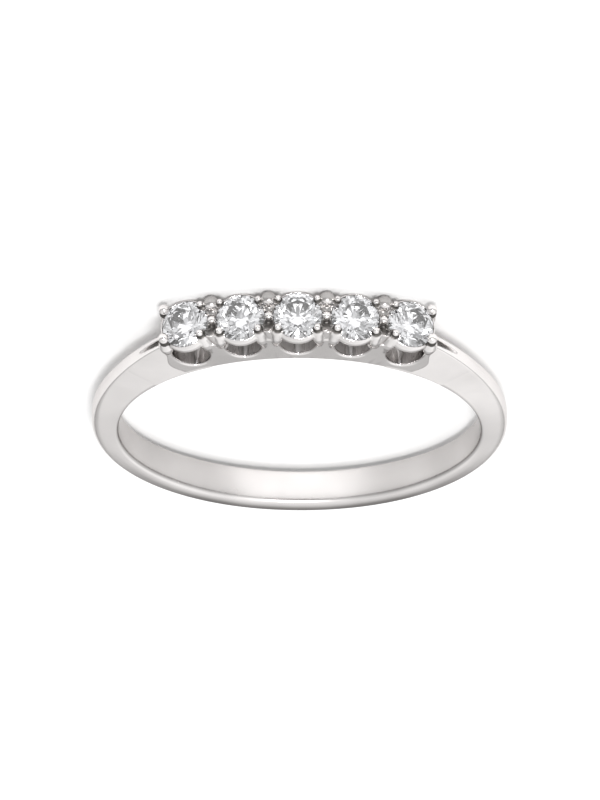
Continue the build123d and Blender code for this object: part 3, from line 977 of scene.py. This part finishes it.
class RING_OT_stage(bpy.types.Operator):
    """Pale floor, white tent, soft light and camera"""
    bl_idname = "ring.stage"
    bl_label = "Stage"

    def execute(self, context):
        stage = context.scene.ring_stage
        lowest = frame_corners[0][2]
        reach, thickness = 2.0, 2.0 * MM
        floor = new_piece("floor", [tube(np.array([
            [(-reach, -reach, z), (reach, -reach, z), (reach, reach, z), (-reach, reach, z)]
            for z in (lowest - thickness, lowest)]))])
        floor.data.materials.append(plain_floor(stage))
        self.key(context, stage)
        self.tent(context, stage)
        self.camera(context, stage)
        context.scene.view_settings.view_transform = "Standard"
        return {"FINISHED"}

    def key(self, context, stage):
        """A round soft light in front of the row and over it, turned to the bore's middle."""
        data = bpy.data.lights.new("key", "AREA")
        data.shape = "DISK"
        data.size = 0.12
        data.energy = stage.key
        data.color = (1.0, 0.995, 0.99)
        lamp = bpy.data.objects.new("key", data)
        lamp.location = (-0.039, -0.3745, 0.274)
        lamp.rotation_euler = (-lamp.location).to_track_quat("-Z", "Y").to_euler()
        context.scene.collection.objects.link(lamp)

    def tent(self, context, stage):
        """A white tent: grey at the horizon and brighter on the way up, with a round darker opening in front.

        It is a little brighter on the minus X side.
        """
        world = bpy.data.worlds.new("white_tent")
        context.scene.world = world
        world.use_nodes = True
        tree = world.node_tree
        background = tree.nodes["Background"]
        place = tree.nodes.new("ShaderNodeTexCoord")
        split = tree.nodes.new("ShaderNodeSeparateXYZ")
        tree.links.new(place.outputs["Generated"], split.inputs["Vector"])
        ramp = tree.nodes.new("ShaderNodeValToRGB")
        stops = ramp.color_ramp
        levels = [(0.0, 0.35), (0.08, 0.45), (0.15, 0.74), (0.39, 0.78), (0.52, 1.10), (1.0, 1.05)]
        for position, level in levels[1:-1]:
            stops.elements.new(position)
        for stop, (position, level) in zip(stops.elements, levels):
            stop.position = position
            stop.color = (level, level, level, 1)
        tree.links.new(split.outputs["Z"], ramp.inputs["Fac"])
        tree.links.new(ramp.outputs["Color"], background.inputs["Color"])
        side = spanned(tree, split.outputs["X"], (-0.6, 0.6), (1.13 * stage.dome, 0.87 * stage.dome))
        towards = tree.nodes.new("ShaderNodeVectorMath")
        towards.operation = "DOT_PRODUCT"
        towards.inputs[1].default_value = (0, -cos(stage.elevation), sin(stage.elevation))
        tree.links.new(place.outputs["Generated"], towards.inputs[0])
        rim, middle = cos(radians(26)), cos(radians(14))
        opening = spanned(tree, towards.outputs["Value"], (rim, middle), (1.0, 0.40), "SMOOTHSTEP")
        tree.links.new(worked_out(tree, "MULTIPLY", side, opening), background.inputs["Strength"])

    def camera(self, context, stage):
        """A long lens at the photo's angle, rolled so that the row is at the top of the picture."""
        level = cos(stage.elevation)
        axis = Vector((sin(stage.azimuth) * level, -cos(stage.azimuth) * level, sin(stage.elevation)))
        right = Vector((0, 0, 1)).cross(axis).normalized()
        up = axis.cross(right)
        turned_right = right * cos(stage.roll) + up * sin(stage.roll)
        turned_up = up * cos(stage.roll) - right * sin(stage.roll)
        data = bpy.data.cameras.new("camera")
        data.sensor_fit = "VERTICAL"
        data.sensor_height = 36.0
        data.lens = stage.pixels_per_mm * stage.distance / MM / PICTURE_HEIGHT * data.sensor_height
        data.clip_start = 0.01
        data.clip_end = 10.0
        camera = bpy.data.objects.new("camera", data)
        place = axis * stage.distance + turned_up * stage.rise + turned_right * stage.shift
        camera.matrix_world = Matrix.Translation(place) @ Matrix(
            (turned_right, turned_up, axis)).transposed().to_4x4()
        context.scene.collection.objects.link(camera)
        context.scene.camera = camera


class RING_PT_panel(bpy.types.Panel):
    """Buttons and sizes of the ring"""
    bl_idname = "RING_PT_panel"
    bl_label = "Diamond Band Ring"
    bl_space_type = "VIEW_3D"
    bl_region_type = "UI"
    bl_category = "Ring"

    def draw(self, context):
        for operator in OPERATORS:
            self.layout.operator(operator.bl_idname)
        for name, group in GROUPS.items():
            box = self.layout.box()
            for field in group.__annotations__:
                box.prop(getattr(context.scene, name), field)


OPERATORS = (RING_OT_shank, RING_OT_head, RING_OT_stones, RING_OT_stage)
GROUPS = {"ring_shank": RingShank, "ring_head": RingHead, "ring_finish": RingFinish, "ring_stage": RingStage}


def register():
    """Makes the operators, the panel and the sizes known."""
    for entry in (*GROUPS.values(), *OPERATORS, RING_PT_panel):
        bpy.utils.register_class(entry)
    for name, group in GROUPS.items():
        setattr(bpy.types.Scene, name, PointerProperty(type=group))


def unregister():
    """Takes back what register added."""
    for name in GROUPS:
        delattr(bpy.types.Scene, name)
    for entry in reversed((*GROUPS.values(), *OPERATORS, RING_PT_panel)):
        bpy.utils.unregister_class(entry)


def main():
    """Builds the ring and its stage."""
    register()
    bpy.ops.ring.shank()
    bpy.ops.ring.head()
    bpy.ops.ring.stones()
    bpy.ops.ring.stage()


if __name__ == "__main__":
    main()
